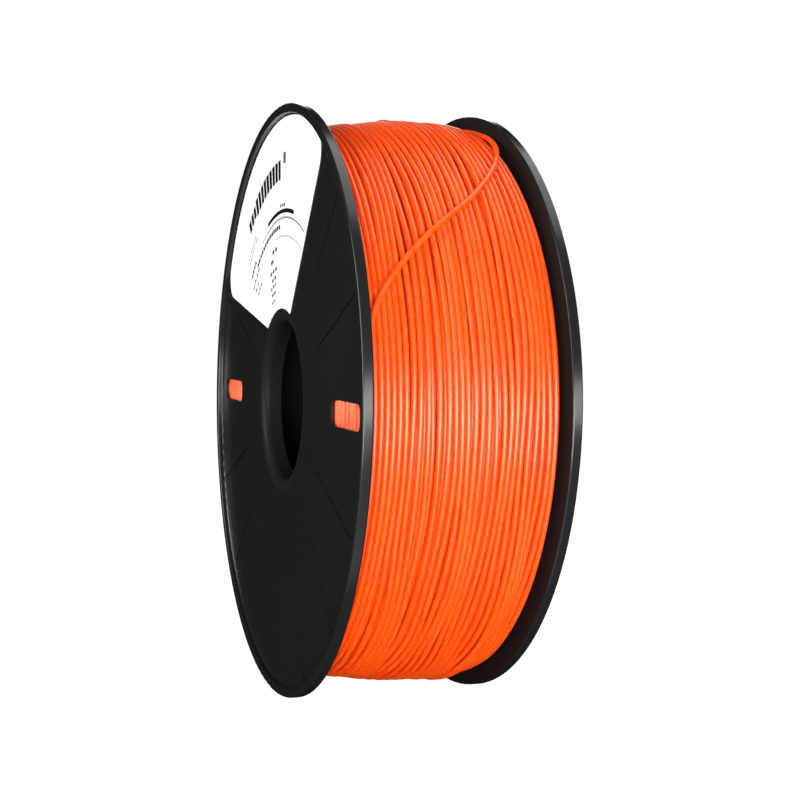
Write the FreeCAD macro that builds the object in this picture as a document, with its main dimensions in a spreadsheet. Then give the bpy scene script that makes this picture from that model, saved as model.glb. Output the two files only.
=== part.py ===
import FreeCAD, Part
import math
import os
import Sketcher
from FreeCAD import Placement, Rotation, Vector

# A one-kilogram filament spool that stands on the rims of its two flanges, in millimetres.
# The spool's axis is Y and its origin is on that axis, half way between the flanges.
# The labelled flange faces -Y. Angles round the axis run from +X towards +Z.
# Each flange is drawn with y = 0 at the outer face of its rim and y growing towards the winding.

DIMENSIONS = {
    "flange_diameter": 200.0,
    "spool_width": 67.0,          # over both rims
    "rim_depth": 3.4,             # the thicker bead round each flange, along the axis
    "rim_band": 3.0,              # the same bead, along the radius
    "rim_rounding": 0.6,
    "rim_foot_rounding": 0.6,     # where the bead meets the thinner web
    "web_recess": 2.2,            # the web lies this far behind the rim's outer face
    "bore_diameter": 54.0,
    "bore_rounding": 2.8,
    "collar_depth": 7.0,          # the short tube round the bore, from the web's outer face
    "collar_wall": 2.2,
    "window_inner_radius": 61.0,  # two sight windows that show how much filament is left
    "window_outer_radius": 90.5,
    "window_width": 7.8,
    "window_rounding": 2.5,
    "window_count": 2,
    "groove_inner_radius": 50.5,  # shallow tapered grooves between the windows
    "groove_outer_radius": 94.3,
    "groove_inner_width": 0.5,
    "groove_outer_width": 1.4,
    "groove_depth": 0.5,
    "dimple_diameter": 2.2,       # a round dimple ends each groove
    "dimple_depth": 0.8,
    "grooves_per_side": 7,
    "drum_diameter": 108.0,
    "drum_wall": 2.4,
    "ring_gap": 0.15,             # between the drum and the ring that centres it
    "ring_wall": 1.8,
    "ring_height": 4.0,
    "hook_count": 6,              # snap hooks that hold the drum on each flange
    "hook_angle": 12.0,
    "hook_reach": 10.5,           # from the web's inner face to the hook's tip
    "hook_barb": 1.5,
    "hook_barb_height": 3.4,
    "hook_tip": 0.8,
    "slot_angle": 15.0,           # the drum's slot that a hook snaps into
    "slot_margin": 0.4,
    "filament_diameter": 1.75,
    "start_hole_diameter": 2.6,
    "start_hole_place": 21.0,     # along the axis, from mid-width
    "start_gap": 0.1,             # between the filament's first end and the turns above it
    "start_depth": 12.0,          # how far the filament's bent end reaches into the drum
    "start_run": 16.0,            # and how far it then runs along the axis
    "winding_gap": 0.1,           # between the winding and each flange
    "winding_edge_radius": 93.4,
    "winding_crown_radius": 97.6,
    "label_thickness": 0.15,
    "label_inner_radius": 31.6,
    "label_outer_radius": 96.4,
    "label_corner_rounding": 8.0,
}

WINDOW_ANGLE = -3.5       # degrees, where the first sight window lies
STATION_PITCH = 22.5      # degrees between neighbouring windows and grooves
LABEL_RIGHT = (66.1, 55.5)    # degrees of the label's right edge at its inner and outer radius
LABEL_LEFT = (125.0, 152.9)

# The loose end of the filament lies over the winding from the far flange to the near one:
# place along the axis, angle round it, and height of its middle above the winding.
TAIL_ROUTE = [
    (27.9, 86.0, 1.3),
    (28.2, 77.0, 1.3),
    (28.2, 68.0, 1.3),
    (26.6, 58.5, 1.3),
    (22.0, 50.2, 1.3),
    (17.0, 44.8, 1.3),
    (10.0, 39.6, 1.3),
    (3.2, 35.8, 1.3),
    (-5.3, 31.6, 1.3),
    (-13.5, 26.9, 1.3),
    (-19.8, 22.6, 1.3),
    (-25.0, 18.0, 1.3),
    (-27.6, 12.5, 1.3),
    (-28.2, 5.0, 1.3),
    (-28.2, -3.0, 1.3),
]
RUN_SHARE = 0.45          # share of the shorter run that a bend of the tail takes up

AXIS = Vector(0, 1, 0)

doc = FreeCAD.newDocument("filament_spool")
sheet = doc.addObject("Spreadsheet::Sheet", "Size")
for row, (alias, number) in enumerate(DIMENSIONS.items(), start=1):
    sheet.set(f"A{row}", alias)
    sheet.set(f"B{row}", str(number))
    sheet.setAlias(f"B{row}", alias)
doc.recompute()


def value(formula):
    """The number that a formula of the sheet gives."""
    return float(sheet.evalExpression(formula))


def turn(degrees):
    """Rotation round the spool's axis, positive from +X towards +Z."""
    return Rotation(AXIS, -degrees)


# ---------------------------------------------------------------- sketch and feature helpers

def origin_plane(body, role):
    return next(feature for feature in body.Origin.OriginFeatures if feature.Role == role)


def new_body(label):
    body = doc.addObject("PartDesign::Body", label)
    body.Label = label
    return body


def new_sketch(body, name, role, lift=None, spin=0.0):
    """A sketch on an origin plane, lifted along its normal by a formula and spun in its plane."""
    sketch = body.newObject("Sketcher::SketchObject", name)
    sketch.AttachmentSupport = [(origin_plane(body, role), "")]
    sketch.MapMode = "FlatFace"
    sketch.AttachmentOffset = Placement(Vector(), Rotation(Vector(0, 0, 1), spin))
    if lift:
        sketch.setExpression("AttachmentOffset.Base.z", lift)
    return sketch


def hold(sketch, geometry, vertex, place):
    """Fix one vertex at the distances from the sketch's origin that two formulas give."""
    for kind, formula, axis in zip(("DistanceX", "DistanceY"), place, (-2, -1)):
        if formula == "0":
            sketch.addConstraint(Sketcher.Constraint("PointOnObject", geometry, vertex, axis))
            continue
        distance = Sketcher.Constraint(kind, -1, 1, geometry, vertex, value(formula))
        index = sketch.addConstraint(distance)
        sketch.setExpression(f"Constraints[{index}]", formula)


def add_outline(sketch, corners):
    """A closed outline of straight edges, whose corners are pairs of formulas."""
    points = [Vector(value(x), value(y), 0) for x, y in corners]
    first = len(sketch.Geometry)
    for index, point in enumerate(points):
        sketch.addGeometry(Part.LineSegment(point, points[(index + 1) % len(points)]))
    for index, corner in enumerate(corners):
        before = first + (index - 1) % len(points)
        sketch.addConstraint(Sketcher.Constraint("Coincident", before, 2, first + index, 1))
        hold(sketch, first + index, 1, corner)


def add_circle(sketch, centre, diameter):
    middle = Vector(value(centre[0]), value(centre[1]), 0)
    circle = sketch.addGeometry(Part.Circle(middle, Vector(0, 0, 1), value(diameter) / 2))
    if centre == ("0", "0"):
        sketch.addConstraint(Sketcher.Constraint("Coincident", circle, 3, -1, 1))
    else:
        hold(sketch, circle, 3, centre)
    index = sketch.addConstraint(Sketcher.Constraint("Diameter", circle, value(diameter)))
    sketch.setExpression(f"Constraints[{index}]", diameter)


def add_feature(body, kind, name, sketch, **formulas):
    feature = body.newObject(f"PartDesign::{kind}", name)
    feature.Profile = sketch
    for key, formula in formulas.items():
        feature.setExpression(key, formula)
    sketch.Visibility = False
    return feature


def spin_feature(body, kind, name, sketch, angle="360"):
    """Revolution or Groove round the sketch's own upright axis, half to each side of it."""
    feature = add_feature(body, kind, name, sketch, Angle=angle)
    feature.ReferenceAxis = (sketch, ["V_Axis"])
    feature.Midplane = True
    return feature


def repeat_round(body, name, original, axis_sketch, count, angle="360"):
    """Copies of a feature round the spool's axis."""
    pattern = body.newObject("PartDesign::PolarPattern", name)
    pattern.Originals = [original]
    pattern.Axis = (axis_sketch, ["N_Axis"])
    pattern.setExpression("Occurrences", count)
    pattern.setExpression("Angle", angle)
    body.Tip = pattern
    return pattern


def round_edges(body, name, wanted, radius):
    """Fillet of the body's edges that pass the test called wanted."""
    doc.recompute()
    base = body.Tip
    names = [f"Edge{index}" for index, edge in enumerate(base.Shape.Edges, start=1) if wanted(edge)]
    assert names, f"{name} finds no edge"
    fillet = body.newObject("PartDesign::Fillet", name)
    fillet.Base = (base, names)
    fillet.setExpression("Radius", radius)
    body.Tip = fillet
    return fillet


def is_circle(edge, radius, place):
    """True for a circle round the axis, of the radius and at the place along Y that are given."""
    if not isinstance(edge.Curve, Part.Circle):
        return False
    return abs(edge.Curve.Radius - radius) < 1e-3 and abs(edge.Curve.Center.y - place) < 1e-3


# ---------------------------------------------------------------- the two flanges

RIM_RADIUS = "Size.flange_diameter / 2"
RIM_FOOT = "Size.flange_diameter / 2 - Size.rim_band"
BORE_RADIUS = "Size.bore_diameter / 2"
COLLAR_RADIUS = "Size.bore_diameter / 2 + Size.collar_wall"
COLLAR_END = "Size.web_recess + Size.collar_depth"
DRUM_INSIDE = "Size.drum_diameter / 2 - Size.drum_wall"
RING_OUTSIDE = f"{DRUM_INSIDE} - Size.ring_gap"
RING_INSIDE = f"{RING_OUTSIDE} - Size.ring_wall"
RING_TOP = "Size.rim_depth + Size.ring_height"
HOOK_TIP = "Size.rim_depth + Size.hook_reach"
BARB_FOOT = f"{HOOK_TIP} - Size.hook_barb_height"
BARB_RADIUS = f"{RING_OUTSIDE} + Size.hook_barb"


def flange_disc(body):
    """Web, rim bead, bore collar and the ring that centres the drum, turned in one piece."""
    sketch = new_sketch(body, "disc_outline", "XY_Plane")
    add_outline(sketch, [
        (BORE_RADIUS, "Size.web_recess"),
        (RIM_FOOT, "Size.web_recess"),
        (RIM_FOOT, "0"),
        (RIM_RADIUS, "0"),
        (RIM_RADIUS, "Size.rim_depth"),
        (RING_OUTSIDE, "Size.rim_depth"),
        (RING_OUTSIDE, RING_TOP),
        (RING_INSIDE, RING_TOP),
        (RING_INSIDE, "Size.rim_depth"),
        (COLLAR_RADIUS, "Size.rim_depth"),
        (COLLAR_RADIUS, COLLAR_END),
        (BORE_RADIUS, COLLAR_END),
    ])
    return spin_feature(body, "Revolution", "disc", sketch)


def flange_hooks(body, axis_sketch):
    """Snap hooks that stand on the centring ring and reach out through the drum's slots."""
    sketch = new_sketch(body, "hook_outline", "XY_Plane")
    add_outline(sketch, [
        (RING_INSIDE, "Size.rim_depth"),
        (RING_OUTSIDE, "Size.rim_depth"),
        (RING_OUTSIDE, BARB_FOOT),
        (BARB_RADIUS, BARB_FOOT),
        (f"{RING_OUTSIDE} - Size.hook_tip", HOOK_TIP),
        (RING_INSIDE, HOOK_TIP),
    ])
    hook = spin_feature(body, "Revolution", "hook", sketch, "Size.hook_angle")
    repeat_round(body, "hooks", hook, axis_sketch, "Size.hook_count")


def web_sketch(body, name, spin=0.0):
    """A sketch that lies on the outer face of the web."""
    return new_sketch(body, name, "XZ_Plane", lift="-Size.web_recess", spin=spin)


def cut(body, name, sketch, depth):
    """Pocket from the web's outer face towards the winding."""
    return add_feature(body, "Pocket", name, sketch, Length=depth)


def flange(label, placement):
    body = new_body(label)
    flange_disc(body)
    rim, foot, bore = value(RIM_RADIUS), value(RIM_FOOT), value(BORE_RADIUS)
    recess, depth = value("Size.web_recess"), value("Size.rim_depth")
    round_edges(body, "rim_edges",
                lambda edge: any(is_circle(edge, *ring) for ring in ((rim, 0), (rim, depth), (foot, 0))),
                "Size.rim_rounding")
    round_edges(body, "rim_foot", lambda edge: is_circle(edge, foot, recess), "Size.rim_foot_rounding")
    round_edges(body, "bore_lip", lambda edge: is_circle(edge, bore, recess), "Size.bore_rounding")

    windows = web_sketch(body, "window_outline")
    half = "Size.window_width / 2"
    add_outline(windows, [
        ("Size.window_inner_radius", f"-{half}"),
        ("Size.window_outer_radius", f"-{half}"),
        ("Size.window_outer_radius", half),
        ("Size.window_inner_radius", half),
    ])
    window = cut(body, "window", windows, "Size.rim_depth - Size.web_recess")
    repeat_round(body, "windows", window, windows, "Size.window_count")
    thickness = depth - recess
    round_edges(body, "window_corners",
                lambda edge: isinstance(edge.Curve, Part.Line) and abs(edge.Length - thickness) < 1e-3
                and abs(abs(edge.tangentAt(edge.FirstParameter).y) - 1) < 1e-6,
                "Size.window_rounding")

    grooves = web_sketch(body, "groove_outline", STATION_PITCH)
    dimples = web_sketch(body, "dimple_outline", STATION_PITCH)
    for side in ("", "-"):
        inner, outer = f"{side}Size.groove_inner_radius", f"{side}Size.groove_outer_radius"
        add_outline(grooves, [
            (inner, "-Size.groove_inner_width / 2"),
            (outer, "-Size.groove_outer_width / 2"),
            (outer, "Size.groove_outer_width / 2"),
            (inner, "Size.groove_inner_width / 2"),
        ])
        for end in (inner, outer):
            add_circle(dimples, (end, "0"), "Size.dimple_diameter")
    spread = f"{STATION_PITCH} * (Size.grooves_per_side - 1)"
    for name, outlines, deep in (("groove", grooves, "Size.groove_depth"),
                                 ("dimple", dimples, "Size.dimple_depth")):
        pair = cut(body, f"{name}_pair", outlines, deep)
        repeat_round(body, f"{name}s", pair, outlines, "Size.grooves_per_side", spread)

    flange_hooks(body, windows)
    body.Placement = placement
    return body


# ---------------------------------------------------------------- the drum between the flanges

DRUM_LENGTH = "Size.spool_width - 2 * Size.rim_depth"


def core_drum():
    """Plain tube with a slot for every snap hook and a hole for the filament's first end."""
    body = new_body("core_drum")
    rings = new_sketch(body, "tube_outline", "XZ_Plane")
    add_circle(rings, ("0", "0"), "Size.drum_diameter")
    add_circle(rings, ("0", "0"), "Size.drum_diameter - 2 * Size.drum_wall")
    tube = add_feature(body, "Pad", "tube", rings, Length=DRUM_LENGTH)
    tube.Midplane = True

    slots = new_sketch(body, "slot_outline", "XY_Plane")
    far_edge = f"Size.spool_width / 2 - ({HOOK_TIP}) - Size.slot_margin"
    near_edge = f"Size.spool_width / 2 - ({BARB_FOOT}) + Size.slot_margin"
    inside, outside = f"{DRUM_INSIDE} - 1", "Size.drum_diameter / 2 + 1"
    for side in ("", "-"):
        add_outline(slots, [
            (inside, f"{side}({far_edge})"),
            (outside, f"{side}({far_edge})"),
            (outside, f"{side}({near_edge})"),
            (inside, f"{side}({near_edge})"),
        ])
    slot_pair = spin_feature(body, "Groove", "slot_pair", slots, "Size.slot_angle")
    repeat_round(body, "slots", slot_pair, rings, "Size.hook_count")

    start = new_sketch(body, "start_hole_outline", "XY_Plane")
    add_circle(start, ("0", "Size.start_hole_place"), "Size.start_hole_diameter")
    hole = add_feature(body, "Pocket", "start_hole", start, Length="Size.drum_diameter")
    hole.Reversed = True
    body.Placement = Placement(Vector(), turn(WINDOW_ANGLE))
    return body


# ---------------------------------------------------------------- the filament

WINDING_HALF = f"({DRUM_LENGTH}) / 2 - Size.winding_gap"


def filament_winding():
    """The wound filament as one closed ring, slightly higher at mid-width than at the flanges."""
    body = new_body("filament_winding")
    sketch = new_sketch(body, "winding_outline", "XY_Plane")
    inside, edge, crown = "Size.drum_diameter / 2", "Size.winding_edge_radius", "Size.winding_crown_radius"
    corners = [(edge, WINDING_HALF), (inside, WINDING_HALF), (inside, f"-({WINDING_HALF})"),
               (edge, f"-({WINDING_HALF})")]
    points = [Vector(value(x), value(y), 0) for x, y in corners]
    for index in range(3):
        sketch.addGeometry(Part.LineSegment(points[index], points[index + 1]))
        hold(sketch, index, 1, corners[index])
    hold(sketch, 2, 2, corners[3])
    for index in range(2):
        sketch.addConstraint(Sketcher.Constraint("Coincident", index, 2, index + 1, 1))
    arch = sketch.addGeometry(Part.Arc(points[3], Vector(value(crown), 0, 0), points[0]))
    sketch.addConstraint(Sketcher.Constraint("Coincident", arch, 1, 2, 2))
    sketch.addConstraint(Sketcher.Constraint("Coincident", arch, 2, 0, 1))
    rise = f"({crown} - {edge})"
    radius = f"(({WINDING_HALF})^2 + {rise}^2) / (2 * {rise})"
    index = sketch.addConstraint(Sketcher.Constraint("Radius", arch, value(radius)))
    sketch.setExpression(f"Constraints[{index}]", radius)
    spin_feature(body, "Revolution", "winding", sketch)
    return body


def winding_radius(place):
    """Radius of the crowned winding at a place along the axis."""
    half = value(WINDING_HALF)
    edge, crown = value("Size.winding_edge_radius"), value("Size.winding_crown_radius")
    rise = crown - edge
    arch = (half ** 2 + rise ** 2) / (2 * rise)
    return crown - arch + math.sqrt(arch ** 2 - place ** 2)


def strand_path(points, label):
    """Straight runs joined by tangent arcs, each arc as large as its two runs allow."""
    runs = [(end - start).Length for start, end in zip(points, points[1:])]
    edges, at, radii = [], points[0], []
    for index in range(1, len(points) - 1):
        corner = points[index]
        back = (points[index - 1] - corner).normalize()
        ahead = (points[index + 1] - corner).normalize()
        half_turn = (math.pi - back.getAngle(ahead)) / 2
        trim = RUN_SHARE * min(runs[index - 1], runs[index])
        radii.append(trim / math.tan(half_turn))
        first, last = corner + back * trim, corner + ahead * trim
        sagitta = radii[-1] * (1 / math.cos(half_turn) - 1)
        middle = corner + (back + ahead).normalize() * sagitta
        edges.append(Part.LineSegment(at, first).toShape())
        edges.append(Part.Arc(first, middle, last).toShape())
        at = last
    edges.append(Part.LineSegment(at, points[-1]).toShape())
    print(label, "bend radii", [round(radius, 1) for radius in radii])
    return Part.Wire(edges)


def strand(label, points):
    """A length of filament along a route through the points."""
    path = strand_path(points, label)
    radius = value("Size.filament_diameter / 2")
    start = path.Edges[0]
    profile = Part.Wire(Part.makeCircle(radius, points[0], start.tangentAt(start.FirstParameter)))
    shape = path.makePipeShell([profile], True, True)
    expected = math.pi * radius ** 2 * path.Length
    assert abs(shape.Volume / expected - 1) < 0.01, f"{label} has lost its section"
    print(label, "length", round(path.Length, 1))
    piece = doc.addObject("Part::Feature", label)
    piece.Label = label
    piece.Shape = shape
    return piece


def filament_tail():
    """The loose end, laid over the winding from one flange to the other."""
    points = []
    for place, degrees, height in TAIL_ROUTE:
        reach, angle = winding_radius(place) + height, math.radians(degrees)
        points.append(Vector(reach * math.cos(angle), place, reach * math.sin(angle)))
    return strand("filament_tail", points)


def filament_start():
    """The first end, pushed through the drum's hole and bent over inside it."""
    top, place = value("Size.drum_diameter / 2 - Size.start_gap"), value("Size.start_hole_place")
    deep, run = value("Size.start_depth"), value("Size.start_run")
    points = [Vector(0, place, top), Vector(0, place, top - deep),
              Vector(0, place - run, top - deep)]
    piece = strand("filament_start", points)
    piece.Placement = Placement(Vector(), turn(WINDOW_ANGLE))
    return piece


# ---------------------------------------------------------------- the label

def front_label():
    """A thin sticker in the shape of a fan, inside the bead of the near flange."""
    body = new_body("front_label")
    sketch = new_sketch(body, "label_outline", "XZ_Plane",
                        lift="Size.spool_width / 2 - Size.web_recess")
    radii = ("Size.label_inner_radius", "Size.label_outer_radius")
    corners = []
    for number, radius in enumerate(radii):
        angles = (LABEL_RIGHT[number], LABEL_LEFT[number])
        reach = value(radius)
        circle = Part.Circle(Vector(), Vector(0, 0, 1), reach)
        arc = sketch.addGeometry(Part.ArcOfCircle(circle, *map(math.radians, angles)))
        sketch.addConstraint(Sketcher.Constraint("Coincident", arc, 3, -1, 1))
        index = sketch.addConstraint(Sketcher.Constraint("Radius", arc, reach))
        sketch.setExpression(f"Constraints[{index}]", radius)
        for vertex, angle in enumerate(angles, start=1):
            across = f"{radius} * cos({angle})"
            index = sketch.addConstraint(
                Sketcher.Constraint("DistanceX", -1, 1, arc, vertex, value(across)))
            sketch.setExpression(f"Constraints[{index}]", across)
            corners.append((arc, vertex, reach * Vector(math.cos(math.radians(angle)),
                                                        math.sin(math.radians(angle)), 0)))
    for inner, outer in ((corners[0], corners[2]), (corners[1], corners[3])):
        side = sketch.addGeometry(Part.LineSegment(inner[2], outer[2]))
        sketch.addConstraint(Sketcher.Constraint("Coincident", side, 1, inner[0], inner[1]))
        sketch.addConstraint(Sketcher.Constraint("Coincident", side, 2, outer[0], outer[1]))
    add_feature(body, "Pad", "sticker", sketch, Length="Size.label_thickness")
    thickness, outer_reach = value("Size.label_thickness"), value("Size.label_outer_radius")
    round_edges(body, "label_corners",
                lambda edge: abs(edge.Length - thickness) < 1e-3
                and math.hypot(edge.CenterOfMass.x, edge.CenterOfMass.z) > outer_reach - 1,
                "Size.label_corner_rounding")
    return body


# ---------------------------------------------------------------- the whole spool

HALF_WIDTH = value("Size.spool_width / 2")
NEAR = Placement(Vector(0, -HALF_WIDTH, 0), turn(WINDOW_ANGLE))
FAR = Placement(Vector(0, HALF_WIDTH, 0), turn(WINDOW_ANGLE) * Rotation(Vector(1, 0, 0), 180))

pieces = [
    flange("near_flange", NEAR),
    flange("far_flange", FAR),
    core_drum(),
    front_label(),
    filament_winding(),
    filament_tail(),
    filament_start(),
]
doc.recompute()

for item in doc.Objects:
    if "Invalid" in item.State or "Error" in item.State:
        raise RuntimeError(f"{item.Label} has failed: {item.State}")
for piece in pieces:
    if piece.Shape.isNull() or not piece.Shape.isValid() or len(piece.Shape.Solids) != 1:
        raise RuntimeError(f"{piece.Label} is not one sound solid")

os.makedirs("parts", exist_ok=True)
for piece in pieces:
    piece.Shape.exportStep(f"parts/{piece.Label}.step")
    print(f"{piece.Label:18s} {piece.Shape.Volume:12.1f} mm3")
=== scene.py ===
import math

import bpy
import numpy as np
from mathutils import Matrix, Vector


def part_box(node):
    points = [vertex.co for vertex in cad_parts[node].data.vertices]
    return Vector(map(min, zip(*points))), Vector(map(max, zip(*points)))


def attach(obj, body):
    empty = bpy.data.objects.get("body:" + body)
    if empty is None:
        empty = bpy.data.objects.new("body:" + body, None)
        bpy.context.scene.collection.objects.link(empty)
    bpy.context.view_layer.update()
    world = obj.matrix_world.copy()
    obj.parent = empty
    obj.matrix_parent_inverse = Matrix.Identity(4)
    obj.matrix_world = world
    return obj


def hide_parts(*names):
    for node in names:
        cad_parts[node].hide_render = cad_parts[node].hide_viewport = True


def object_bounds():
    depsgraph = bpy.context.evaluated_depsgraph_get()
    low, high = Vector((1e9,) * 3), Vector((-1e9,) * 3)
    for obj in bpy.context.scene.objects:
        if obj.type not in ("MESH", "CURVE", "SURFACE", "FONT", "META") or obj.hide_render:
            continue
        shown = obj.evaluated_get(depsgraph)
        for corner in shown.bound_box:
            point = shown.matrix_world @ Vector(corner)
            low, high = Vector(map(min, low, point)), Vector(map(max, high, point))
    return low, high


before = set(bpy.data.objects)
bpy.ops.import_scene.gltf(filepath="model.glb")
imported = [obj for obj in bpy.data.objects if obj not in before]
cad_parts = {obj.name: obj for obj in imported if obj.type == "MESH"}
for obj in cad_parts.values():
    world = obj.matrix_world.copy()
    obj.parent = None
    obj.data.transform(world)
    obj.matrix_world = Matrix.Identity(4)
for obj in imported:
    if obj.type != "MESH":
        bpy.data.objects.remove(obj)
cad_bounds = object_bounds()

# Looks of a filament spool that stands on its rims. Lengths are in metres, in the CAD frame:
# the spool's axis is Y, its labelled flange faces -Y, and angles run from +X towards +Z.

SEED = 11
TAU = 2 * math.pi

WINDING_LOW, WINDING_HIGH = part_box("filament_winding")
LABEL_LOW, LABEL_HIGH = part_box("front_label")
DRUM_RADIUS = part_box("core_drum")[1].x
HALF_WIDTH = WINDING_HIGH.y          # of the winding
INNER_FACE = HALF_WIDTH + 0.15e-3    # just past the flanges' faces towards the winding
CROWN_RADIUS = WINDING_HIGH.x        # of the winding at mid-width
FLOOR_HEIGHT = cad_bounds[0].z
STRAND = 1.75e-3                     # diameter of the filament
COLLAR_REACH = 0.04                  # from the axis, clear of the collar round the bore
BORE_REACH = 0.031                   # the same, for the rounded mouth of the bore


# ---------------------------------------------------------------- camera

CAMERA_PLACE = Vector((0.4436, -0.1430, -0.0021))
CAMERA_AIM = Vector((0.0, 0.0122, 0.0002))
CAMERA_LENS = 59.6


def add_camera():
    data = bpy.data.cameras.new("camera")
    data.lens = CAMERA_LENS
    data.clip_start, data.clip_end = 0.01, 50
    camera = bpy.data.objects.new("camera", data)
    camera.location = CAMERA_PLACE
    camera.rotation_mode = "QUATERNION"
    camera.rotation_quaternion = (CAMERA_AIM - CAMERA_PLACE).to_track_quat("-Z", "Y")
    bpy.context.scene.collection.objects.link(camera)
    bpy.context.scene.camera = camera


# ---------------------------------------------------------------- mesh helpers

def add_mesh(name, points, faces, material, smooth=True):
    mesh = bpy.data.meshes.new(name)
    mesh.from_pydata(points, [], faces)
    mesh.polygons.foreach_set("use_smooth", [smooth] * len(mesh.polygons))
    mesh.update()
    piece = bpy.data.objects.new(name, mesh)
    bpy.context.scene.collection.objects.link(piece)
    mesh.materials.append(material)
    return piece


def grid_faces(rows, columns, close_rows):
    """Quads of a grid whose columns close into rings and whose rows may close too."""
    faces = []
    for row in range(rows if close_rows else rows - 1):
        after = (row + 1) % rows
        for column in range(columns):
            beside = (column + 1) % columns
            faces.append((row * columns + column, row * columns + beside,
                          after * columns + beside, after * columns + column))
    return faces


def add_tube(name, line, radius, sides, material):
    """A round strand along a line that winds round the Y axis, with rounded-off flat ends."""
    tangent = np.gradient(line, axis=0)
    tangent /= np.linalg.norm(tangent, axis=1)[:, None]
    outward = line * (1, 0, 1)
    outward -= tangent * np.sum(outward * tangent, axis=1)[:, None]
    outward /= np.linalg.norm(outward, axis=1)[:, None]
    across = np.cross(tangent, outward)
    angles = np.arange(sides) * TAU / sides
    ring = (np.cos(angles)[None, :, None] * outward[:, None, :]
            + np.sin(angles)[None, :, None] * across[:, None, :])
    points = (line[:, None, :] + radius * ring).reshape(-1, 3)
    faces = grid_faces(len(line), sides, close_rows=False)
    faces.append(tuple(reversed(range(sides))))
    faces.append(tuple(range(len(points) - sides, len(points))))
    return add_mesh(name, points.tolist(), faces, material)


# ---------------------------------------------------------------- node helpers

class Nodes:
    """A short way to build a material's node tree."""

    def __init__(self, name):
        self.material = bpy.data.materials.new(name)
        self.material.use_nodes = True
        self.tree = self.material.node_tree
        self.shader = self.tree.nodes["Principled BSDF"]

    def add(self, kind, settings=None, **inputs):
        node = self.tree.nodes.new(f"ShaderNode{kind}")
        for key, item in (settings or {}).items():
            setattr(node, key, item)
        for key, item in inputs.items():
            index = int(key[1:]) if key[1:].isdigit() else key.replace("_", " ")
            if isinstance(item, bpy.types.NodeSocket):
                self.tree.links.new(item, node.inputs[index])
            else:
                node.inputs[index].default_value = item
        return node

    def math(self, operation, first, second=0.0, third=0.0, clamp=False):
        node = self.add("Math", {"operation": operation, "use_clamp": clamp}, _0=first, _1=second, _2=third)
        return node.outputs[0]

    def mix(self, factor, first, second):
        node = self.add("Mix", {"data_type": "RGBA"}, _0=factor, _6=first, _7=second)
        return node.outputs[2]

    def noise(self, vector, scale, detail=2.0, roughness=0.5):
        node = self.add("TexNoise", Vector=vector, Scale=scale, Detail=detail, Roughness=roughness)
        return node.outputs["Fac"]

    def bump(self, height, distance, strength):
        node = self.add("Bump", Height=height, Distance=distance, Strength=strength)
        self.link(node.outputs[0], "Normal")

    def link(self, socket, name):
        self.tree.links.new(socket, self.shader.inputs[name])

    def place(self):
        """Object coordinates, which are the spool's own frame in metres."""
        return self.add("TexCoord").outputs["Object"]

    def polar(self):
        """Radius from the spool's axis, angle round it in degrees, and place along it."""
        parts = self.add("SeparateXYZ", Vector=self.place()).outputs
        across, along, up = parts[0], parts[1], parts[2]
        squares = self.math("ADD", self.math("MULTIPLY", across, across),
                            self.math("MULTIPLY", up, up))
        radius = self.math("SQRT", squares)
        angle = self.math("MULTIPLY", self.math("ARCTAN2", up, across), 180 / math.pi)
        return radius, angle, along


def black_plastic():
    """Moulded plastic with a fine grain, glossy outside and dull on the faces towards the winding."""
    nodes = Nodes("black_plastic")
    place = nodes.place()
    haze = nodes.noise(place, 22.0, 3.0, 0.5)
    tone = nodes.mix(haze, (0.0085, 0.0085, 0.009, 1), (0.0115, 0.0115, 0.012, 1))
    nodes.link(tone, "Base Color")
    radius, _, along = nodes.polar()
    dull = nodes.math("LESS_THAN", nodes.math("ABSOLUTE", along), INNER_FACE)
    dull = nodes.math("MULTIPLY", dull, nodes.math("GREATER_THAN", radius, COLLAR_REACH))
    dull = nodes.math("MULTIPLY_ADD", nodes.math("LESS_THAN", radius, BORE_REACH), 0.85, dull)
    nodes.link(nodes.math("MULTIPLY_ADD", dull, -0.28, 0.30), "Specular IOR Level")
    rough = nodes.math("MULTIPLY_ADD", haze, 0.06, 0.18)
    nodes.link(nodes.math("MULTIPLY_ADD", dull, 0.25, rough), "Roughness")
    grain = nodes.noise(place, 1800.0, 2.0)
    nodes.bump(grain, 0.00002, 0.2)
    return nodes.material


def orange_filament():
    """Glossy extruded plastic, a little translucent, whose tone drifts from turn to turn."""
    nodes = Nodes("orange_filament")
    radius, angle, along = nodes.polar()
    streak = nodes.add("CombineXYZ", X=nodes.math("MULTIPLY", angle, 0.05),
                       Y=nodes.math("MULTIPLY", along, 420.0), Z=nodes.math("MULTIPLY", radius, 300.0))
    drift = nodes.noise(streak.outputs[0], 1.0, 2.0)
    tone = nodes.mix(drift, (0.97, 0.062, 0.003, 1), (0.99, 0.105, 0.007, 1))
    nodes.link(tone, "Base Color")
    nodes.link(nodes.math("MULTIPLY_ADD", drift, 0.12, 0.25), "Roughness")
    ripple = nodes.noise(nodes.place(), 520.0, 1.0)
    nodes.bump(ripple, 0.00004, 0.2)
    nodes.shader.inputs["IOR"].default_value = 1.52
    nodes.shader.inputs["Subsurface Weight"].default_value = 0.8
    nodes.shader.inputs["Subsurface Radius"].default_value = (1.0, 0.25, 0.08)
    nodes.shader.inputs["Subsurface Scale"].default_value = 0.003
    return nodes.material


def between(nodes, socket, low, high, blur):
    """One between two values of a socket and zero outside them, with edges of the blur's width."""
    rise = nodes.math("DIVIDE", nodes.math("SUBTRACT", socket, low), blur, clamp=True)
    fall = nodes.math("DIVIDE", nodes.math("SUBTRACT", high, socket), blur, clamp=True)
    return nodes.math("MULTIPLY", rise, fall)


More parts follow.
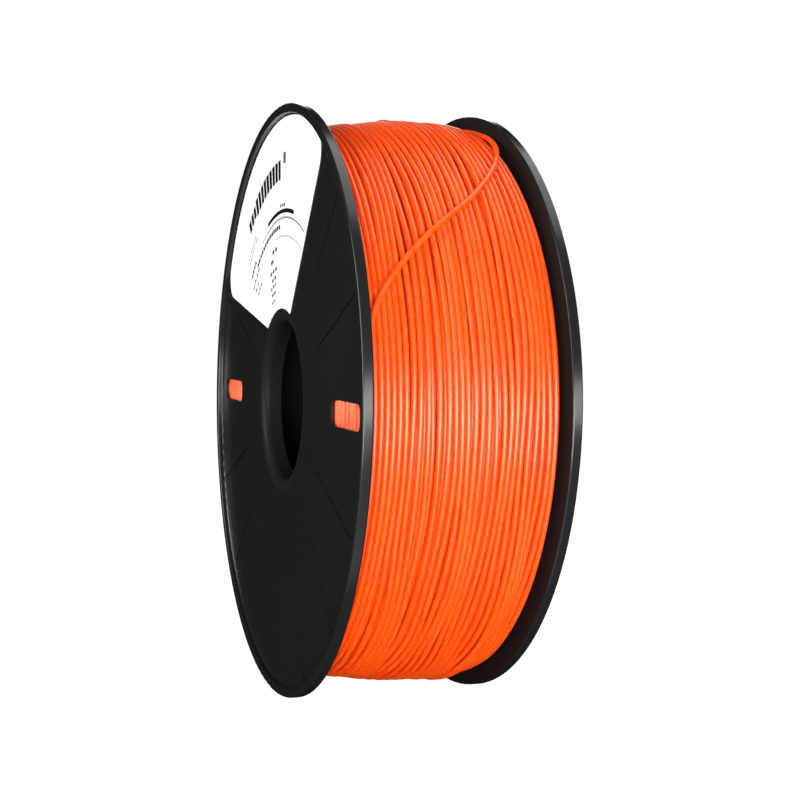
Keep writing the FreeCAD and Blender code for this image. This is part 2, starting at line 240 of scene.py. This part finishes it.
# Plain printed marks on the label: inner and outer radius in millimetres, first and last angle
# in degrees, darkness, and how many dashes the mark is cut into, with the share that is inked.
LABEL_MARKS = (
    (75.8, 82.8, 89.5, 117.5, 1.0, 9, 0.78),
    (77.0, 82.0, 117.5, 126.5, 1.0, 3, 0.78),
    (80.8, 84.8, 84.6, 87.2, 0.9, 1, 1.0),
    (66.2, 67.6, 84.2, 91.0, 0.9, 3, 0.7),
    (64.0, 65.6, 73.5, 106.0, 1.0, 1, 1.0),
    (62.1, 62.9, 60.0, 114.0, 0.75, 1, 1.0),
    (55.9, 56.6, 60.0, 96.0, 0.5, 1, 1.0),
    (58.9, 60.6, 90.0, 125.0, 1.0, 14, 0.78),
    (62.0, 63.6, 125.0, 133.5, 1.0, 4, 0.75),
    (68.6, 69.4, 119.0, 133.0, 0.8, 3, 0.85),
    (70.8, 71.5, 121.0, 134.0, 0.8, 1, 1.0),
    (52.1, 53.8, 95.0, 103.4, 0.9, 2, 0.7),
    (49.2, 50.7, 101.0, 105.5, 0.9, 1, 1.0),
    (45.5, 47.0, 96.0, 109.0, 0.9, 3, 0.72),
    (42.8, 44.1, 97.5, 107.0, 0.9, 2, 0.75),
    (40.4, 41.7, 99.0, 110.0, 0.9, 3, 0.7),
    (37.8, 39.1, 100.0, 109.0, 0.9, 2, 0.75),
    (35.2, 36.4, 101.0, 110.0, 0.85, 2, 0.7),
    (57.0, 58.3, 122.5, 135.0, 0.9, 4, 0.75),
    (53.6, 54.8, 126.5, 133.5, 0.9, 2, 0.7),
    (50.2, 51.4, 122.5, 131.0, 0.9, 3, 0.7),
)


def printed_label():
    """White gloss film with plain grey and black marks in arcs round the bore."""
    nodes = Nodes("printed_label")
    radius, angle, _ = nodes.polar()
    reach = nodes.math("MULTIPLY", radius, 1000.0)
    ink = 0.0
    for inner, outer, first, last, darkness, dashes, inked in LABEL_MARKS:
        mark = nodes.math("MULTIPLY", between(nodes, reach, inner, outer, 0.15),
                          between(nodes, angle, first, last, 0.2))
        if dashes > 1:
            cell = (last - first) / dashes
            along = nodes.math("DIVIDE", nodes.math("SUBTRACT", angle, first), cell)
            dash = nodes.math("LESS_THAN", nodes.math("FRACT", along), inked)
            mark = nodes.math("MULTIPLY", mark, dash)
        ink = nodes.math("MAXIMUM", ink, nodes.math("MULTIPLY", mark, darkness))
    nodes.link(nodes.mix(ink, (0.90, 0.90, 0.90, 1), (0.008, 0.008, 0.009, 1)), "Base Color")
    sheen = nodes.noise(nodes.place(), 60.0, 3.0)
    nodes.link(nodes.math("MULTIPLY_ADD", sheen, 0.12, 0.2), "Roughness")
    nodes.bump(sheen, 0.00004, 0.15)
    return nodes.material


# ---------------------------------------------------------------- the winding

STATIONS = 180                       # points on one turn
WANDER = 0.65e-3                     # how far the strands stray sideways, as a standard deviation
JITTER = 0.05e-3                     # the same, for the small wander of each strand by itself
LAYERS = (32, 32, 28)                # turns in each of the three outer layers, from the inside
CROWN_PLACE = 8e-3                   # the winding is thickest here along the axis
NEAR_DROP, FAR_DROP = 5.4e-3, 3.7e-3     # how much lower it is at the two flanges
DWELL = 1.05                         # turns for which the strand follows a flange before it turns back
FLANGE_GAP = 0.05e-3
PEAK_ROOM = 0.5e-3                   # how far the crossings may stand out over the other turns
CALM_SHARE = 0.8                     # share of the outer layer that stays under that level
SQUEEZE = 0.96                       # neighbours this many diameters apart lie side by side
BRIDGE = 3                           # stations over which a taut strand bridges a dip
CROSSINGS = (2, 1, 2)                # times in each layer that the strand strays over its neighbours
LOOSE_END_ANGLE = math.radians(86)   # where the outermost turn leaves the winding


def drift_field(rng, amplitude, waves=36):
    """A smooth sideways wander of the strands, as a function of angle and place."""
    turns = rng.integers(1, 11, waves)
    pitch = rng.uniform(8e-3, 34e-3, waves)
    sign = rng.choice((-1, 1), waves)
    phase = rng.uniform(0, TAU, waves)
    weight = rng.uniform(0.4, 1.0, waves) / (1 + turns / 5)
    weight *= amplitude / math.sqrt(np.sum(weight ** 2) / 2)

    def field(angle, place):
        total = np.zeros_like(angle)
        for wave in range(waves):
            total += weight[wave] * np.cos(turns[wave] * angle + phase[wave]
                                           + sign[wave] * TAU * place / pitch[wave])
        edge = np.clip((1 - np.abs(place) / HALF_WIDTH) * 5, 0, 1)
        return total * edge

    return field


def smooth(values, width):
    kernel = np.hanning(2 * width + 1)
    kernel /= kernel.sum()
    return np.convolve(np.pad(values, width, mode="edge"), kernel, "valid")


def side_by_side(places, direction, reach):
    """Push turns of one layer apart until none lies closer to the one before than a diameter."""
    turns = direction * places.reshape(-1, STATIONS)
    for turn in range(1, len(turns)):
        turns[turn] = np.maximum(turns[turn], turns[turn - 1] + STRAND)
    turns[-1] = np.minimum(turns[-1], reach)
    for turn in range(len(turns) - 2, -1, -1):
        turns[turn] = np.minimum(turns[turn], turns[turn + 1] - STRAND)
    return direction * turns.ravel()


def layer_paths(rng):
    """Angle and place along the axis of the strand, layer after layer, as one line of points."""
    reach = HALF_WIDTH - STRAND / 2 - FLANGE_GAP
    total = sum(LAYERS) * STATIONS
    angle = LOOSE_END_ANGLE + (total - 1 - np.arange(total)) * TAU / STATIONS
    places, direction = [], 1
    for number, (turns, crossings) in enumerate(zip(LAYERS, CROSSINGS), start=1):
        last_dwell = DWELL if number < len(LAYERS) else 0.0
        count = turns * STATIONS
        wound = np.arange(count) / STATIONS
        steady = direction * np.interp(wound, (0, DWELL, turns - last_dwell), (-reach, -reach, reach))
        here = angle[sum(map(len, places)):][:count]
        wander = drift_field(rng, WANDER)(here, steady)
        jitter = smooth(rng.normal(size=count), STATIONS // 14)
        jitter *= JITTER / jitter.std()
        path = side_by_side(np.clip(steady + wander + jitter, -reach, reach), direction, reach)
        for start in rng.integers(3 * STATIONS, count - 4 * STATIONS, crossings):
            length = int(STATIONS * rng.uniform(0.25, 0.5))
            hop = rng.choice((-1, 1)) * rng.uniform(1.6, 2.6) * 1e-3
            path[start:start + length] += hop * np.hanning(length)
        places.append(np.clip(smooth(path, 4), -reach, reach))
        direction = -direction
    return angle, np.concatenate(places)


def crown_drop(place):
    """How much lower the winding is at a place along the axis than where it is thickest."""
    near = np.clip((CROWN_PLACE - place) / (HALF_WIDTH + CROWN_PLACE), 0, 1)
    far = np.clip((place - CROWN_PLACE) / (HALF_WIDTH - CROWN_PLACE), 0, 1)
    return NEAR_DROP * near ** 1.5 + FAR_DROP * far ** 4


def rest_heights(apart, heights):
    """Height of a strand's middle where it rests on others that lie this far to its side."""
    lift = STRAND * np.sqrt(np.clip(1 - (apart / (SQUEEZE * STRAND)) ** 2, 0, None))
    return np.where(lift > 0, heights + lift, 0).max(axis=0)


def stack_heights(places):
    """Height of the strand's middle over the core, where each turn rests on those wound before."""
    turns = places.reshape(-1, STATIONS)
    heights = STRAND / 2 - crown_drop(turns)
    for turn in range(1, len(turns)):
        rest = rest_heights(np.abs(turns[:turn] - turns[turn]), heights[:turn] + NEAR_DROP) - NEAR_DROP
        heights[turn] = np.maximum(heights[turn], rest)
    return heights.ravel()


def taut(heights):
    """The same heights with the sharp dips bridged, as a strand under tension bridges them."""
    bridged = heights.copy()
    for shift in range(1, BRIDGE + 1):
        bridged[shift:] = np.maximum(bridged[shift:], heights[:-shift])
        bridged[:-shift] = np.maximum(bridged[:-shift], heights[shift:])
    return smooth(bridged, BRIDGE + 1)


def round_line(angle, place, radius):
    return np.stack((radius * np.cos(angle), place, radius * np.sin(angle)), axis=1)


def add_winding(material):
    """Three outer layers of real turns, each layer a piece, over a ridged core of older turns."""
    rng = np.random.default_rng(SEED)
    angle, place = layer_paths(rng)
    height = taut(stack_heights(place))
    outer = slice(-LAYERS[-1] * STATIONS, None)
    top = (height + crown_drop(place))[outer][np.abs(place[outer]) < 0.8 * HALF_WIDTH]
    core_crown = CROWN_RADIUS - STRAND / 2 - PEAK_ROOM - np.quantile(top, CALM_SHARE)
    ceiling = CROWN_RADIUS - STRAND / 2 - np.clip(crown_drop(place) - PEAK_ROOM, 0, None)
    radius = np.minimum(core_crown + height, ceiling)
    line = round_line(angle, place, radius)
    pieces, start = [add_core(rng, core_crown, material)], 0
    for number, turns in enumerate(LAYERS, start=1):
        end = start + turns * STATIONS
        sides = 12 if number == len(LAYERS) else 8
        pieces.append(add_tube(f"winding_layer_{number}", line[start:end + 1], STRAND / 2, sides, material))
        start = end
    turns = tuple(values.reshape(-1, STATIONS) for values in (place, radius))
    return pieces, turns


# The loose end's route over the winding: place along the axis in millimetres and angle in degrees.
LOOSE_END_ROUTE = (
    (28.9, 86.0), (28.9, 79.0), (29.0, 72.0), (28.6, 64.0), (26.2, 56.0), (22.0, 49.7), (17.0, 44.8),
    (12.4, 41.2), (7.7, 38.1), (3.2, 35.8), (-1.2, 33.6), (-5.3, 31.6), (-9.5, 29.2), (-13.5, 26.9),
    (-17.0, 24.6), (-20.2, 22.3), (-23.0, 20.0), (-25.4, 17.6), (-27.4, 14.6), (-28.7, 10.0),
    (-29.0, 4.0), (-29.0, -2.5),
)
LOOSE_END_POINTS = 240
BRIDGED_POINTS = 8                   # the loose end spans the dips between the turns under it
TUCK = 1.3e-3                        # how far the very end dips between winding and flange
MOST_SUNK = 0.9e-3                   # how far a turn may lie back from the side of the winding
FLOOR_REACH = 6                      # radius of the floor


def smooth_route(route, count):
    """Points on a smooth curve guided by the route, as a NURBS spline gives them."""
    curve = bpy.data.curves.new("route", "CURVE")
    curve.dimensions = "3D"
    spline = curve.splines.new("NURBS")
    spline.points.add(len(route) - 1)
    for point, (place, angle) in zip(spline.points, route):
        point.co = (place, angle, 0, 1)
    spline.order_u = 4
    spline.use_endpoint_u = True
    spline.resolution_u = 24
    holder = bpy.data.objects.new("route", curve)
    sampled = np.array([tuple(vertex.co) for vertex in bpy.data.meshes.new_from_object(holder).vertices])
    bpy.data.objects.remove(holder)
    steps = np.linspace(0, len(sampled) - 1, count)
    return [np.interp(steps, np.arange(len(sampled)), sampled[:, axis]) for axis in (0, 1)]


def add_loose_end(turns, material):
    """The filament's free end, which rests on the outermost turns all the way."""
    place, degrees = smooth_route(LOOSE_END_ROUTE, LOOSE_END_POINTS)
    place, angle = place * 1e-3, np.radians(degrees)
    places, radii = turns
    station = np.round((LOOSE_END_ANGLE - angle) / TAU * STATIONS - 1).astype(int) % STATIONS
    radius = rest_heights(np.abs(places[:, station] - place), radii[:, station])
    windows = np.lib.stride_tricks.sliding_window_view(np.pad(radius, BRIDGED_POINTS, mode="edge"),
                                                       2 * BRIDGED_POINTS + 1)
    radius = smooth(windows.max(axis=1) - 0.1e-3, 2 * BRIDGED_POINTS)
    start = np.clip(1 - np.linspace(0, 8, LOOSE_END_POINTS), 0, 1) ** 2
    radius += start * (radii[-1, -1] - radius)
    radius -= TUCK * np.linspace(0, 1, LOOSE_END_POINTS) ** 10
    return add_tube("loose_end", round_line(angle, place, radius), STRAND / 2, 16, material)


def add_core(rng, crown, material):
    """The older turns as a ring whose sides and top show every turn as a ridge."""
    ridge_points = 6
    side = HALF_WIDTH - 0.3 * STRAND
    corners = [(DRUM_RADIUS, -side)]
    corners += [(crown - crown_drop(place), place) for place in np.linspace(-side, side, 9)]
    corners += [(DRUM_RADIUS, side)]
    profile = []
    for start, end in zip(corners, corners[1:]):
        start, end = Vector(start), Vector(end)
        run = end - start
        outward = Vector((run.y, -run.x)).normalized()
        count = round(run.length / STRAND)
        for ridge in range(count):
            sunk = MOST_SUNK * rng.random() ** 2 if abs(outward.y) > 0.9 else 0.0
            for step in range(ridge_points):
                rise = STRAND * 0.28 * math.sin(math.pi * step / ridge_points) - sunk
                profile.append(start.lerp(end, (ridge + step / ridge_points) / count) + outward * rise)
    profile += [Vector(corners[-1]), Vector(corners[0])]
    points = []
    for station in range(STATIONS):
        turn = station * TAU / STATIONS
        for radius, place in profile:
            points.append((radius * math.cos(turn), place, radius * math.sin(turn)))
    faces = grid_faces(STATIONS, len(profile), close_rows=True)
    return add_mesh("winding_core", points, faces, material)


# ---------------------------------------------------------------- stage and light

def area_light(name, place, size, power):
    """A rectangular softbox that faces the spool's middle."""
    data = bpy.data.lights.new(name, "AREA")
    data.shape = "RECTANGLE"
    data.size, data.size_y = size
    data.energy = power
    lamp = bpy.data.objects.new(name, data)
    lamp.location = place
    lamp.rotation_mode = "QUATERNION"
    lamp.rotation_quaternion = (-Vector(place)).to_track_quat("-Z", "Y")
    bpy.context.scene.collection.objects.link(lamp)


def add_stage():
    """A pale floor and backdrop, with softboxes in front, at the side, overhead and behind."""
    floor = Nodes("floor_paint")
    floor.shader.inputs["Base Color"].default_value = (0.22, 0.22, 0.22, 1)
    floor.shader.inputs["Roughness"].default_value = 0.9
    floor.shader.inputs["Specular IOR Level"].default_value = 0.0
    floor.shader.inputs["Emission Color"].default_value = (1, 1, 1, 1)
    floor.shader.inputs["Emission Strength"].default_value = 1.0
    ring = [(FLOOR_REACH * math.cos(turn), FLOOR_REACH * math.sin(turn), FLOOR_HEIGHT)
            for turn in np.linspace(0, TAU, 65)[:-1]]
    ground = add_mesh("floor", ring, [tuple(range(64))], floor.material, smooth=False)
    ground.visible_glossy = False
    ground.visible_shadow = False
    ground.visible_diffuse = False

    world = bpy.data.worlds.new("studio")
    bpy.context.scene.world = world
    world.use_nodes = True
    backdrop = world.node_tree.nodes["Background"]
    backdrop.inputs["Color"].default_value = (1, 1, 1, 1)
    backdrop.inputs["Strength"].default_value = 1.0
    world.cycles_visibility.glossy = False
    world.cycles_visibility.diffuse = False

    area_light("front_softbox", (1.20, -0.30, -0.19), (1.20, 0.52), 28)
    area_light("rim_softbox", (1.15, 0.40, -0.02), (0.55, 0.30), 5.5)
    area_light("top_softbox", (0.04, 0.42, 0.95), (0.80, 0.70), 5)
    area_light("side_softbox", (0.10, -1.30, 0.35), (0.9, 0.9), 24)
    area_light("fill_softbox", (1.30, -0.60, 1.00), (1.8, 1.8), 2)
    area_light("back_softbox", (-1.30, 0.95, 0.25), (1.3, 1.3), 22)
    area_light("floor_glow", (0.90, -0.20, -0.90), (1.2, 1.2), 5)


# ---------------------------------------------------------------- the scene

add_camera()
plastic = black_plastic()
filament = orange_filament()

finishes = {"near_flange": plastic, "far_flange": plastic, "core_drum": plastic,
            "front_label": printed_label(), "filament_start": filament}
for node, finish in finishes.items():
    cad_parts[node].data.materials.clear()
    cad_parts[node].data.materials.append(finish)

winding_pieces, outer_turns = add_winding(filament)
loose_end = add_loose_end(outer_turns, filament)
for piece in (*winding_pieces, loose_end):
    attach(piece, "root")
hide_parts("filament_winding")
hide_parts("filament_tail")

add_stage()
bpy.context.scene.view_settings.view_transform = "Standard"
